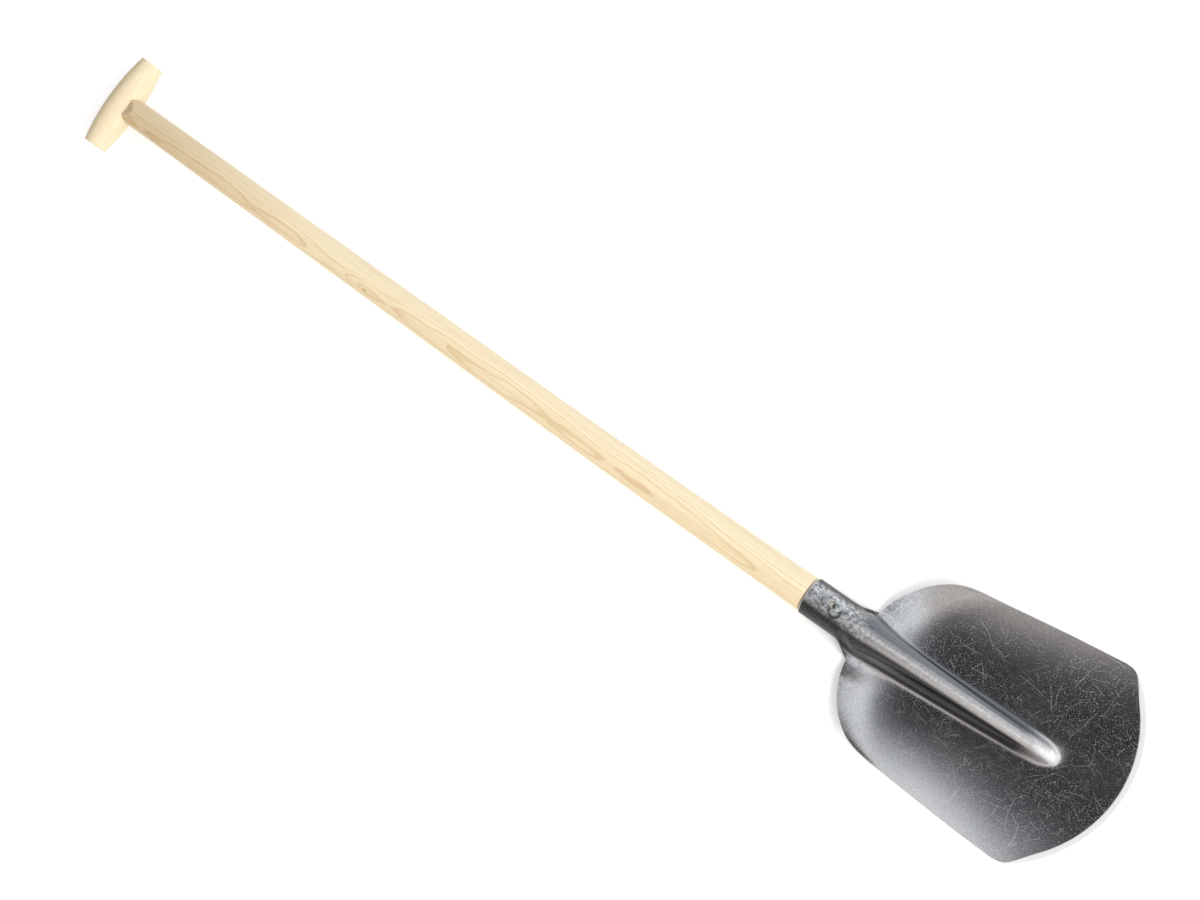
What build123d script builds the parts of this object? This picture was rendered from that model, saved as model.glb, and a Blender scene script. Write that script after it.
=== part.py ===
from build123d import *
import os
import numpy as np

os.makedirs("parts", exist_ok=True)

# ------------------------------------------------------------------ driving dimensions (mm)
# handle frame: origin at the grip centre, +X down the straight part of the handle,
# +Z out of the working (front) face, +Y sideways
GRIP_LENGTH = 120.5
GRIP_MID = 38.6              # barrel diameter at the middle
GRIP_END = 27.6              # barrel diameter at the sawn ends
GRIP_EDGE = 0.9              # eased edge of the sawn ends
GRIP_TURN = 8.0              # turn of the grip about the handle axis, off the blade's width

SHAFT_D_GRIP = 32.4          # handle diameter where it meets the grip
SHAFT_D_RIM = 37.05          # handle diameter just above the socket
BEND_START = 618.8           # where the steamed bend begins
RIM_X = 1019.2               # socket rim, along the straight axis
RIM_RISE = 19.35             # how far the bend has carried the axis forwards at the rim
TENON_D = 20.0
COPE_BEVEL_DEG = 18.0        # chamfer that clips the horns of the cope
COPE_BEVEL_X = 28.0          # where that chamfer crosses the front of the shaft

SHEET = 2.0                  # blade sheet thickness
SOCKET_R = 20.0              # outer radius of the rolled socket
SOCKET_TUBE = 40.0           # length of the fully closed tube
NECK_X = 62.0                # rim to shoulder corner
SEAM_GAP = 1.2               # open seam at the back of the socket
SHAFT_IN_SOCKET = 92.0       # how far the handle reaches past the rim
SHAFT_TIP_R = 11.0           # its tapered end
SOCKET_FIT = 0.05            # clearance of the handle in the socket
PAN_END = 346.0              # sheet length before the front is cut round
FRONT_R = 135.0              # front edge radius
FRONT_CX = 200.0             # its centre, from the rim
CORNER_R = 22.0              # front corner radius
SIDE_Y = 105.0               # half width at the front corners
GROUND = 5.0                 # width of the ground front bevel
GROUND_DROP = 1.3

SCREW_X = 33.0               # screw axis, from the rim
SCREW_TURN = 8.0             # it sits a little off the middle, round the socket
SCREW_HEAD_D = 10.6
SCREW_HEAD_H = 3.2
SCREW_MAJOR_D = 5.0
SCREW_LENGTH = 28.0
HOLE_W = 9.0                 # oval clearance hole in the socket
HOLE_FROM, HOLE_TO = -8.0, 2.7   # its ends along the axis, from the screw

REST_PITCH = 2.9683            # turn that lays the tool on its back
REST_SHIFT = (-665.7998, 0.0, 55.7166)

BEND_SPAN = RIM_X - BEND_START
CURV = 2 * RIM_RISE / BEND_SPAN ** 2
RIM_SLOPE = float(np.degrees(np.arctan(CURV * BEND_SPAN)))


# ------------------------------------------------------------------ small curve helpers
def natural_spline(xs, ys):
    xs = np.asarray(xs, float)
    ys = np.asarray(ys, float)
    n = len(xs)
    h = np.diff(xs)
    a = np.zeros((n, n))
    b = np.zeros(n)
    a[0, 0] = a[-1, -1] = 1.0
    for i in range(1, n - 1):
        a[i, i - 1] = h[i - 1]
        a[i, i] = 2 * (h[i - 1] + h[i])
        a[i, i + 1] = h[i]
        b[i] = 6 * ((ys[i + 1] - ys[i]) / h[i] - (ys[i] - ys[i - 1]) / h[i - 1])
    m = np.linalg.solve(a, b)

    def f(x):
        x = np.asarray(x, float)
        k = np.clip(np.searchsorted(xs, x) - 1, 0, n - 2)
        t0 = xs[k + 1] - x
        t1 = x - xs[k]
        hk = h[k]
        return (m[k] * t0 ** 3 + m[k + 1] * t1 ** 3) / (6 * hk) \
            + (ys[k] / hk - m[k] * hk / 6) * t0 + (ys[k + 1] / hk - m[k + 1] * hk / 6) * t1

    return f


def monotone(xs, ys):
    xs = np.asarray(xs, float)
    ys = np.asarray(ys, float)
    h = np.diff(xs)
    d = np.diff(ys) / h
    n = len(xs)
    m = np.zeros(n)
    for i in range(1, n - 1):
        if d[i - 1] * d[i] > 0:
            w1 = 2 * h[i] + h[i - 1]
            w2 = h[i] + 2 * h[i - 1]
            m[i] = (w1 + w2) / (w1 / d[i - 1] + w2 / d[i])

    def edge(h0, h1, d0, d1):
        v = ((2 * h0 + h1) * d0 - h0 * d1) / (h0 + h1)
        if v * d0 <= 0:
            return 0.0
        if d0 * d1 <= 0 and abs(v) > 3 * abs(d0):
            return 3 * d0
        return v

    m[0] = edge(h[0], h[1], d[0], d[1])
    m[-1] = edge(h[-1], h[-2], d[-1], d[-2])

    def f(x):
        x = np.clip(np.asarray(x, float), xs[0], xs[-1])
        k = np.clip(np.searchsorted(xs, x) - 1, 0, n - 2)
        t = (x - xs[k]) / h[k]
        return ys[k] * (1 + 2 * t) * (1 - t) ** 2 + m[k] * h[k] * t * (1 - t) ** 2 \
            + ys[k + 1] * t * t * (3 - 2 * t) + m[k + 1] * h[k] * t * t * (t - 1)

    return f


# ------------------------------------------------------------------ shape of the pressed sheet
# blade frame: origin on the socket axis at the rim, +X to the tip, +Z out of the front
floor_z = natural_spline([30, 62, 80, 95, 110, 130, 150, 175, 200, 225, 250, 300, 346],
                         [-18.0, -20.0, -23.4, -24.2, -23.0, -18.9, -13.1, -5.0, 3.7, 12.8, 22.4,
                          43.2, 64.5])
side_depth = monotone([62, 165, 220, 267, 346], [26.0, 26.0, 24.0, 20.5, 14.0])
flat_half = monotone([30, 62, 80, 95, 110, 135, 160, 200, 235, 255, 270, 346],
                     [28.0, 28.0, 25.6, 23.9, 22.7, 21.4, 20.4, 19.0, 17.4, 16.0, 14.5, 14.5])
rib_half = monotone([30, 62, 80, 95, 110, 135, 160, 200, 235, 250, 258, 264, 269, 273, 276, 346],
                    [28.0, 28.0, 25.6, 23.9, 22.7, 21.4, 20.4, 19.0, 17.4, 16.6, 15.7, 14.0, 11.4,
                     8.4, 6.0, 6.0])
crest_r = monotone([30, 62, 80, 95, 130, 160, 220, 270, 346],
                   [20.0, 20.0, 17.5, 16.0, 13.2, 11.6, 9.5, 8.5, 8.5])
valley_r = monotone([30, 62, 90, 150, 220, 270, 346], [7, 7, 7, 7, 7.5, 8, 8])
half_width = monotone([62, 63.2, 66, 70, 75, 83, 95, 109, 124, 140, 154, 189, 231, 262, 290, 346],
                      [28.6, 34.2, 43.2, 52.2, 60.8, 71.8, 82.8, 91.1, 95.4, 97.3, 98.2, 100.5,
                       103.1, 105.0, 107.0, 111.2])
shoulder_x = monotone([0, 28.6, 34.2, 43.2, 52.2, 60.8, 71.8, 82.8, 91.1, 95.4, 97.3, 98.2, 100.5, 103.1, 115],
                      [61.9, 62, 63.2, 66, 70, 75, 83, 95, 109, 124, 140, 154, 189, 231, 300])


def smooth(t):
    t = np.clip(t, 0, 1)
    return t * t * (3 - 2 * t)


def crest_z(x):
    return SOCKET_R + 0.115 * (np.sqrt((x - 62.0) ** 2 + 144.0) + (x - 62.0)) / 2


def rib_height(x):
    fade = (1 - np.clip((x - 250.0) / 26.0, 0, 1) ** 2) ** 1.25
    return float((crest_z(x) - floor_z(x)) * fade)


def wing_z(x, y):
    ay = np.abs(y)
    w = float(flat_half(x))
    q = np.clip((ay - w) / (104.0 - w), 0, None)
    s = np.clip(1 - (x - shoulder_x(ay)) / 46.0, 0, 1)
    curl = 4.0 * s ** 2 * smooth((ay - w) / 20.0) * (1 - smooth((x - 85.0) / 75.0))
    return floor_z(x) + side_depth(x) * q ** 2 + curl


def rib_angle(w, h, a):
    ps = np.linspace(1e-6, 2.8, 500)
    v = a * (1 - np.cos(ps)) * np.cos(ps) + w * np.sin(ps) - a * np.sin(ps) ** 2 - h * np.cos(ps)
    k = np.nonzero(np.diff(np.sign(v)))[0]
    if len(k) == 0:
        return None
    k = k[0]
    p = ps[k] - v[k] * (ps[k + 1] - ps[k]) / (v[k + 1] - v[k])
    if abs(np.cos(p)) < 1e-4:
        return None
    return p, (w - a * np.sin(p)) / np.cos(p)


def half_section(x, n, split=0.5):
    """n+1 points (y, z) of the front surface from the crest outwards."""
    u = np.linspace(0, 1, n + 1)
    if x < NECK_X:
        ang = (np.pi - SEAM_GAP / 2 / SOCKET_R) * u
        ring = np.c_[SOCKET_R * np.sin(ang), SOCKET_R * np.cos(ang)]
        if x <= SOCKET_TUBE:
            return ring
        t = smooth((x - SOCKET_TUBE) / (NECK_X - SOCKET_TUBE)) ** 1.6
        return (1 - t) * ring + t * half_section(NECK_X, n, split)
    w = float(rib_half(x))
    h = rib_height(x)
    z0 = float(floor_z(x))
    edge = float(half_width(x))
    if h < 0.03:
        yy = np.linspace(0, w, 120)
        rib = np.c_[yy, np.full(120, z0)]
    else:
        r1, r2 = float(crest_r(x)), float(valley_r(x))
        k = 1.0
        sol = rib_angle(w, h, r1 + r2)
        while sol is None or sol[1] < 0.3:
            k *= 0.97
            sol = rib_angle(w, h, (r1 + r2) * k)
        r1 *= k
        r2 *= k
        p, flank = sol
        t1 = np.linspace(0, p, 60)
        a = np.c_[r1 * np.sin(t1), z0 + h - r1 * (1 - np.cos(t1))]
        t2 = np.linspace(p, 0, 60)
        b = np.c_[w - r2 * np.sin(t2), z0 + r2 * (1 - np.cos(t2))]
        rib = np.vstack([a, b])
    yy = np.linspace(w, edge, 160)[1:]
    pts = np.vstack([rib, np.c_[yy, wing_z(x, yy)]])
    s = np.r_[0, np.cumsum(np.linalg.norm(np.diff(pts, axis=0), axis=1))]
    at = monotone([0, split, 1], [0, s[len(rib) - 1], s[-1]])(u)
    return np.c_[np.interp(at, s, pts[:, 0]), np.interp(at, s, pts[:, 1])]


def full_section(x, n):
    half = half_section(x, n)
    left = half[1:][::-1] * [-1, 1]
    yz = np.vstack([left, half])
    return np.c_[np.full(len(yz), x), yz]


def rear_row(row, fx=None):
    """Back face points of one station, one sheet thickness behind the front face."""
    d = np.gradient(row[:, 1:], axis=0)
    nrm = np.c_[-d[:, 1], d[:, 0]]
    nrm /= np.linalg.norm(nrm, axis=1, keepdims=True)
    thick = np.full(len(row), SHEET)
    if fx is not None:
        fy = d[:, 1] / np.where(np.abs(d[:, 0]) < 1e-6, 1e-6, d[:, 0])
        thick = SHEET * np.sqrt(1 + np.clip(fx, -1, 1) ** 2 / (1 + fy ** 2))
    r = row.copy()
    r[:, 1:] -= nrm * thick[:, None]
    return r


def slope_x(x, y):
    lo, hi = full_section(max(x - 0.5, NECK_X), 90), full_section(x + 0.5, 90)
    fx = np.interp(y, hi[:, 1], hi[:, 2]) - np.interp(y, lo[:, 1], lo[:, 2])
    return fx / (hi[0, 0] - lo[0, 0])


def face_z(x, y):
    sec = full_section(float(x), 90)
    return float(np.interp(y, sec[:, 1], sec[:, 2]))


def station(x, n):
    front = full_section(x, n)
    return front, rear_row(front, slope_x(x, front[:, 1]) if x >= NECK_X else None)


def section_wire(front, rear):
    n = len(front)
    u = list(np.linspace(0, 1, n))
    top = Edge.make_spline([Vector(*p) for p in front], parameters=u)
    bot = Edge.make_spline([Vector(*p) for p in rear], parameters=u)
    cap1 = Edge.make_line(bot @ 1, top @ 1)
    cap0 = Edge.make_line(bot @ 0, top @ 0)
    return Wire([top, cap1, bot, cap0])


# front outline of the pan, from the tip to where the corner meets the side
corner_cy = SIDE_Y - CORNER_R
corner_cx = FRONT_CX + ((FRONT_R - CORNER_R) ** 2 - corner_cy ** 2) ** 0.5
arc_angle = float(np.arctan2(corner_cy, corner_cx - FRONT_CX))
arc_len = FRONT_R * arc_angle
corner_len = CORNER_R * (np.pi / 2 - arc_angle)


def front_outline(s):
    """Point and outward normal on the front edge, s along it from the tip."""
    s = np.asarray(s, float)
    a = np.where(s < arc_len, s / FRONT_R, arc_angle + (s - arc_len) / CORNER_R)
    nx, ny = np.cos(a), np.sin(a)
    px = np.where(s < arc_len, FRONT_CX + FRONT_R * nx, corner_cx + CORNER_R * nx)
    py = np.where(s < arc_len, FRONT_R * ny, corner_cy + CORNER_R * ny)
    return np.c_[px, py], np.c_[nx, ny]


def front_zone(n, ts, x0):
    """Stations that swing from a straight one at x0 round to the front edge."""
    u = np.linspace(0, 1, n + 1)
    s_end = monotone([0, 0.5, 0.85, 1], [0, 16.5, arc_len - 6, arc_len + corner_len])(u)
    edge, nrm = front_outline(s_end)
    width = GROUND - (GROUND - 0.6) * smooth((u - 0.8) / 0.2)
    lean = smooth((u - 0.9) / 0.1)[:, None]
    inward = -(1 - lean) * nrm + lean * np.array([[-1.0, 0.0]])
    inward /= np.linalg.norm(inward, axis=1, keepdims=True)
    inner = edge + inward * width[:, None]
    start = half_section(x0, n)
    rows = []
    for t in ts:
        px = x0 + (inner[:, 0] - x0) * t
        py = start[:, 0] + (inner[:, 1] - start[:, 0]) * t
        rows.append(np.c_[px, py])
    rows.append(edge)
    out = []
    for row in rows:
        pts, slopes = [], []
        for px, py in row:
            py = min(py, float(half_width(px)))
            pts.append((px, py, face_z(px, py)))
            slopes.append((face_z(px + 0.5, py) - face_z(px - 0.5, py),
                           (face_z(px, py + 0.3) - face_z(px, py - 0.3)) / 0.6))
        pts, slopes = np.array(pts), np.array(slopes)
        slopes[0, 1] = 0.0
        nv = np.c_[-slopes[:, 1], np.ones(len(pts))] / np.sqrt(
            1 + slopes[:, :1] ** 2 + slopes[:, 1:] ** 2)
        rear = pts.copy()
        rear[:, 1:] -= nv / (nv ** 2).sum(1, keepdims=True) * SHEET
        out.append((pts, rear))
    drop = GROUND_DROP * width / GROUND
    out[-1][0][:, 2] -= drop
    full = []
    for f, r in out:
        full.append(tuple(np.vstack([q[1:][::-1] * [1, -1, 1], q]) for q in (f, r)))
    return full


N_HALF = 32
X_SWING = 222.0
tube_rows = [station(x, N_HALF) for x in [0, SOCKET_TUBE]]
neck_rows = [tube_rows[1]] + [station(x, N_HALF) for x in [42.5, 45, 47.5, 50, 52.5, 55, 57.5, 60]]
pan_rows = [station(x, N_HALF) for x in
            [NECK_X, 62.5, 63.2, 64.4, 66, 68, 70, 72.5, 75, 79, 83, 88, 94, 101, 109, 117, 125,
             134, 144, 156, 170, 186, 202, 214, X_SWING]]
swing = front_zone(N_HALF, [0.05, 0.1, 0.15, 0.2, 0.24, 0.28, 0.32, 0.36, 0.4, 0.44, 0.48, 0.54,
                            0.6, 0.68, 0.78, 0.89, 1.0], X_SWING)
neck_rows.append(pan_rows[0])
pan_rows += swing[:-1]
strip_rows = swing[-2:]
tube = Solid.make_loft([section_wire(*r) for r in tube_rows], ruled=True)
neck = Solid.make_loft([section_wire(*r) for r in neck_rows])
pan = Solid.make_loft([section_wire(*r) for r in pan_rows])
strip = Solid.make_loft([section_wire(*r) for r in strip_rows], ruled=True)
u_full = list(np.linspace(0, 1, 2 * N_HALF + 1))
lip = [Edge.make_spline([Vector(*p) for p in row], parameters=u_full) for row in strip_rows[1]]
front_face = Face.make_surface_from_curves(lip[0], lip[1])


# ------------------------------------------------------------------ screw, from the front of the socket
seat = SOCKET_R
head = [(0, seat), (SCREW_HEAD_D / 2 - 0.3, seat), (SCREW_HEAD_D / 2, seat + 0.3),
        (SCREW_HEAD_D / 2, seat + 1.0)]
crown = Edge.make_three_point_arc(Vector(SCREW_HEAD_D / 2, 0, seat + 1.0),
                                  Vector(SCREW_HEAD_D / 2 * 0.72, 0, seat + SCREW_HEAD_H * 0.84),
                                  Vector(0, 0, seat + SCREW_HEAD_H))
shank_r = SCREW_MAJOR_D / 2
low = seat - SCREW_LENGTH
path = [Vector(0, 0, seat + SCREW_HEAD_H), Vector(0, 0, low), Vector(shank_r, 0, low + 5.0),
        Vector(shank_r, 0, seat)]
edges = [Edge.make_line(path[i], path[i + 1]) for i in range(3)]
rimpts = [path[3]] + [Vector(x, 0, z) for x, z in head[1:]]
edges += [Edge.make_line(rimpts[i], rimpts[i + 1]) for i in range(len(rimpts) - 1)]
screw = revolve(Face(Wire(edges + [crown])), Axis.Z, 360)
lobes = Cylinder(1.5, 4, align=(Align.CENTER, Align.CENTER, Align.MIN))
for i in range(6):
    a = np.radians(60 * i)
    lobes += Pos(1.45 * np.cos(a), 1.45 * np.sin(a), 0) * Cylinder(
        0.5, 4, align=(Align.CENTER, Align.CENTER, Align.MIN))
screw = screw - Pos(0, 0, seat + 1.1) * lobes
screw = Rot(-SCREW_TURN, 0, 0) * Pos(SCREW_X, 0, 0) * screw
hole_r = HOLE_W / 2
hole_z = Align.CENTER, Align.CENTER, Align.MIN
hole = Pos(SCREW_X + HOLE_FROM + hole_r, 0, seat - 6) * Cylinder(hole_r, 12, align=hole_z)
hole += Pos(SCREW_X + HOLE_TO - hole_r, 0, seat - 6) * Cylinder(hole_r, 12, align=hole_z)
hole += Pos(SCREW_X + (HOLE_FROM + HOLE_TO) / 2, 0, seat - 6) * Box(
    HOLE_TO - HOLE_FROM - HOLE_W, HOLE_W, 12, align=hole_z)
tube = tube - Rot(-SCREW_TURN, 0, 0) * hole

# ------------------------------------------------------------------ one sheet, sewn from its runs
def joins(f):
    """True for the flat faces where two lofted runs of the sheet meet."""
    box = f.bounding_box()
    return any(box.min.X > x - 0.01 and box.max.X < x + 0.01 for x in (SOCKET_TUBE, NECK_X))


skin = [f for run in (pan, neck, tube) for f in run.faces() if not joins(f)]
skin += list(strip.faces()) + [front_face]
blade = Solid(Shell(skin))

# ------------------------------------------------------------------ handle
socket_frame = Location((RIM_X, 0, RIM_RISE), (0, -RIM_SLOPE, 0))


def shaft_r(x):
    return (SHAFT_D_GRIP + (SHAFT_D_RIM - SHAFT_D_GRIP) * x / RIM_X) / 2


def axis_point(x):
    d = max(x - BEND_START, 0.0)
    return Vector(x, 0, 0.5 * CURV * d * d), Vector(1, 0, CURV * d)


def ring_at(x, r):
    p, t = axis_point(x)
    return Wire(Edge.make_circle(r, Plane(origin=p, z_dir=t)))


straight = Solid.make_cone(shaft_r(0), shaft_r(BEND_START), BEND_START, Plane.YZ)
bend_stations = [BEND_START + BEND_SPAN * i / 8 for i in range(9)]
bent = Solid.make_loft([ring_at(x, shaft_r(x)) for x in bend_stations])
in_r = SOCKET_R - SHEET - SOCKET_FIT
tail = socket_frame * (
    Solid.make_cylinder(in_r, SOCKET_TUBE, Plane.YZ))
tail_tip = socket_frame * Solid.make_cone(in_r, SHAFT_TIP_R, SHAFT_IN_SOCKET - SOCKET_TUBE,
                                          Plane(origin=(SOCKET_TUBE, 0, 0), x_dir=(0, 1, 0), z_dir=(1, 0, 0)))
shoulder = 3.0
collar_cut = socket_frame * (Solid.make_cylinder(30, shoulder, Plane(
    origin=(-shoulder, 0, 0), x_dir=(0, 1, 0), z_dir=(1, 0, 0)))
    - Solid.make_cone(SHAFT_D_RIM / 2 + 0.02, in_r, shoulder, Plane(
        origin=(-shoulder, 0, 0), x_dir=(0, 1, 0), z_dir=(1, 0, 0))))
shaft = (straight + bent) - collar_cut + tail + tail_tip

# ------------------------------------------------------------------ grip
half = GRIP_LENGTH / 2
rm, re = GRIP_MID / 2, GRIP_END / 2
prof = [Edge.make_line(Vector(0, -half), Vector(re - GRIP_EDGE, -half)),
        Edge.make_line(Vector(re - GRIP_EDGE, -half), Vector(re, -half + GRIP_EDGE)),
        Edge.make_three_point_arc(Vector(re, -half + GRIP_EDGE), Vector(rm, 0),
                                  Vector(re, half - GRIP_EDGE)),
        Edge.make_line(Vector(re, half - GRIP_EDGE), Vector(re - GRIP_EDGE, half)),
        Edge.make_line(Vector(re - GRIP_EDGE, half), Vector(0, half)),
        Edge.make_line(Vector(0, half), Vector(0, -half))]
barrel = Rot(GRIP_TURN, 0, 0) * revolve(Face(Wire(prof)), Axis.Y, 360)
tenon = Solid.make_cylinder(TENON_D / 2, 60, Plane(origin=(-30, 0, 0), x_dir=(0, 1, 0),
                                                   z_dir=(1, 0, 0)))
t_grip = barrel - tenon
shaft = shaft - barrel
# clip the thin horns of the cope, front and back
for sgn in (1, -1):
    clip = Rot(GRIP_TURN, 0, 0) * Pos(COPE_BEVEL_X, 0, sgn * shaft_r(COPE_BEVEL_X)) \
        * Rot(0, -sgn * COPE_BEVEL_DEG, 0) \
        * Pos(-30, 0, sgn * 10) * Box(60, 60, 20)
    shaft = shaft - clip
shaft = shaft + (tenon & barrel)

# the screw sits in the handle
screw_s = socket_frame * screw
shaft = shaft - screw_s
blade_s = socket_frame * blade

# ------------------------------------------------------------------ lay the tool on its back
rest = Pos(*REST_SHIFT) * Rot(0, REST_PITCH, 0)
pieces = {"blade": blade_s, "shaft": shaft, "t_grip": t_grip, "socket_screw": screw_s}
for name, solid in pieces.items():
    placed = rest * solid
    got = placed.solids()
    print(name, len(got), [round(s.volume, 1) for s in got], all(s.is_valid for s in got),
          placed.bounding_box())
    export_step(got[0] if len(got) == 1 else Compound(children=got), f"parts/{name}.step")
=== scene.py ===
import math
import bpy
import bmesh
import numpy as np
from mathutils import Matrix, Vector


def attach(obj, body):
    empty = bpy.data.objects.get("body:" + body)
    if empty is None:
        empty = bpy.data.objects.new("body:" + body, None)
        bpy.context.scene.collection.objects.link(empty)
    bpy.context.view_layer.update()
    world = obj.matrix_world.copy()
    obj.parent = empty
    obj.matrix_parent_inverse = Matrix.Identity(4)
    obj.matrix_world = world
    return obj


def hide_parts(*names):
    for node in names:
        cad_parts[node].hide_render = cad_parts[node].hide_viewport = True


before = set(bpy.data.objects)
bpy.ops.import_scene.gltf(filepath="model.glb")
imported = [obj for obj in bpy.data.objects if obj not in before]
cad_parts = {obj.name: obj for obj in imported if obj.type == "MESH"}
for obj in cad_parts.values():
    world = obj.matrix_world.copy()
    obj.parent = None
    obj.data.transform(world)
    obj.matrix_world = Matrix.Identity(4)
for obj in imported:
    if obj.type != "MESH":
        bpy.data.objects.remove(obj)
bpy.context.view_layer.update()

SCN = bpy.context.scene

# ------------------------------------------------------------------ dimensions, mm
GRIP_LENGTH = 120.5
GRIP_MID = 38.6
GRIP_END = 27.6
GRIP_EDGE = 0.9
GRIP_TURN = math.radians(8.0)
SHAFT_D_GRIP = 32.4
SHAFT_D_RIM = 37.05
BEND_START = 618.8
RIM_X = 1019.2
RIM_RISE = 19.35
TENON_D = 20.0
COPE_DEG = 18.0
COPE_X = 28.0
SHEET = 2.0
SOCKET_R = 20.0
SOCKET_TUBE = 40.0
NECK_X = 62.0
SEAM_GAP = 1.2
SHAFT_IN = 92.0
SHAFT_TIP_R = 11.0
FRONT_R = 135.0
FRONT_CX = 200.0
CORNER_R = 22.0
SIDE_Y = 105.0
GROUND = 5.0
GROUND_DROP = 1.3
SCREW_X = 33.0
SCREW_TURN = 8.0
SCREW_D = 10.6
SCREW_H = 3.2
HOLE_W = 9.0
HOLE_FROM, HOLE_TO = -8.0, 2.7
REST_PITCH = math.radians(2.9683)
REST_SHIFT = np.array([-665.7998, 0.0, 55.7166])
SPAN = RIM_X - BEND_START
CURV = 2 * RIM_RISE / SPAN ** 2
SLOPE = math.atan(CURV * SPAN)


def roty(a):
    """Turn about +Y."""
    c, s = math.cos(a), math.sin(a)
    return np.array([[c, 0, s], [0, 1, 0], [-s, 0, c]])


R_REST = roty(REST_PITCH)
R_SOCK = roty(-SLOPE)
T_SOCK = np.array([RIM_X, 0, RIM_RISE])


def handle_to_row(p):
    return (np.asarray(p, float) @ R_REST.T + REST_SHIFT) / 1000.0


def blade_to_row(p):
    return handle_to_row(np.asarray(p, float) @ R_SOCK.T + T_SOCK)


# ------------------------------------------------------------------ curves
def natural_spline(xs, ys):
    xs, ys = np.asarray(xs, float), np.asarray(ys, float)
    n = len(xs)
    h = np.diff(xs)
    a, b = np.zeros((n, n)), np.zeros(n)
    a[0, 0] = a[-1, -1] = 1.0
    for i in range(1, n - 1):
        a[i, i - 1], a[i, i], a[i, i + 1] = h[i - 1], 2 * (h[i - 1] + h[i]), h[i]
        b[i] = 6 * ((ys[i + 1] - ys[i]) / h[i] - (ys[i] - ys[i - 1]) / h[i - 1])
    m = np.linalg.solve(a, b)

    def f(x):
        x = np.asarray(x, float)
        k = np.clip(np.searchsorted(xs, x) - 1, 0, n - 2)
        t0, t1, hk = xs[k + 1] - x, x - xs[k], h[k]
        return (m[k] * t0 ** 3 + m[k + 1] * t1 ** 3) / (6 * hk) \
            + (ys[k] / hk - m[k] * hk / 6) * t0 + (ys[k + 1] / hk - m[k + 1] * hk / 6) * t1
    return f


def monotone(xs, ys):
    xs, ys = np.asarray(xs, float), np.asarray(ys, float)
    h = np.diff(xs)
    d = np.diff(ys) / h
    n = len(xs)
    m = np.zeros(n)
    for i in range(1, n - 1):
        if d[i - 1] * d[i] > 0:
            w1, w2 = 2 * h[i] + h[i - 1], h[i] + 2 * h[i - 1]
            m[i] = (w1 + w2) / (w1 / d[i - 1] + w2 / d[i])

    def edge(h0, h1, d0, d1):
        v = ((2 * h0 + h1) * d0 - h0 * d1) / (h0 + h1)
        if v * d0 <= 0:
            return 0.0
        if d0 * d1 <= 0 and abs(v) > 3 * abs(d0):
            return 3 * d0
        return v

    m[0] = edge(h[0], h[1], d[0], d[1])
    m[-1] = edge(h[-1], h[-2], d[-1], d[-2])

    def f(x):
        x = np.clip(np.asarray(x, float), xs[0], xs[-1])
        k = np.clip(np.searchsorted(xs, x) - 1, 0, n - 2)
        t = (x - xs[k]) / h[k]
        return ys[k] * (1 + 2 * t) * (1 - t) ** 2 + m[k] * h[k] * t * (1 - t) ** 2 \
            + ys[k + 1] * t * t * (3 - 2 * t) + m[k + 1] * h[k] * t * t * (t - 1)
    return f


def smooth(t):
    t = np.clip(t, 0, 1)
    return t * t * (3 - 2 * t)


# ------------------------------------------------------------------ pressed sheet, blade frame
floor_z = natural_spline([30, 62, 80, 95, 110, 130, 150, 175, 200, 225, 250, 300, 346],
                         [-18.0, -20.0, -23.4, -24.2, -23.0, -18.9, -13.1, -5.0, 3.7, 12.8, 22.4,
                          43.2, 64.5])
side_depth = monotone([62, 165, 220, 267, 346], [26.0, 26.0, 24.0, 20.5, 14.0])
flat_half = monotone([30, 62, 80, 95, 110, 135, 160, 200, 235, 255, 270, 346],
                     [28.0, 28.0, 25.6, 23.9, 22.7, 21.4, 20.4, 19.0, 17.4, 16.0, 14.5, 14.5])
rib_half = monotone([30, 62, 80, 95, 110, 135, 160, 200, 235, 250, 258, 264, 269, 273, 276, 346],
                    [28.0, 28.0, 25.6, 23.9, 22.7, 21.4, 20.4, 19.0, 17.4, 16.6, 15.7, 14.0, 11.4,
                     8.4, 6.0, 6.0])
crest_r = monotone([30, 62, 80, 95, 130, 160, 220, 270, 346],
                   [20.0, 20.0, 17.5, 16.0, 13.2, 11.6, 9.5, 8.5, 8.5])
valley_r = monotone([30, 62, 90, 150, 220, 270, 346], [7, 7, 7, 7, 7.5, 8, 8])
half_width = monotone([62, 63.2, 66, 70, 75, 83, 95, 109, 124, 140, 154, 189, 231, 262, 290, 346],
                      [28.6, 34.2, 43.2, 52.2, 60.8, 71.8, 82.8, 91.1, 95.4, 97.3, 98.2, 100.5,
                       103.1, 105.0, 107.0, 111.2])
shoulder_x = monotone([0, 28.6, 34.2, 43.2, 52.2, 60.8, 71.8, 82.8, 91.1, 95.4, 97.3, 98.2,
                       100.5, 103.1, 115],
                      [61.9, 62, 63.2, 66, 70, 75, 83, 95, 109, 124, 140, 154, 189, 231, 300])


def crest_z(x):
    return SOCKET_R + 0.115 * (np.sqrt((x - 62.0) ** 2 + 144.0) + (x - 62.0)) / 2


def rib_height(x):
    fade = (1 - np.clip((x - 250.0) / 26.0, 0, 1) ** 2) ** 1.25
    return float((crest_z(x) - floor_z(x)) * fade)


def wing_z(x, y):
    ay = np.abs(y)
    w = float(flat_half(x))
    q = np.clip((ay - w) / (104.0 - w), 0, None)
    s = np.clip(1 - (x - shoulder_x(ay)) / 46.0, 0, 1)
    curl = 4.0 * s ** 2 * smooth((ay - w) / 20.0) * (1 - smooth((x - 85.0) / 75.0))
    return floor_z(x) + side_depth(x) * q ** 2 + curl


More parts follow.
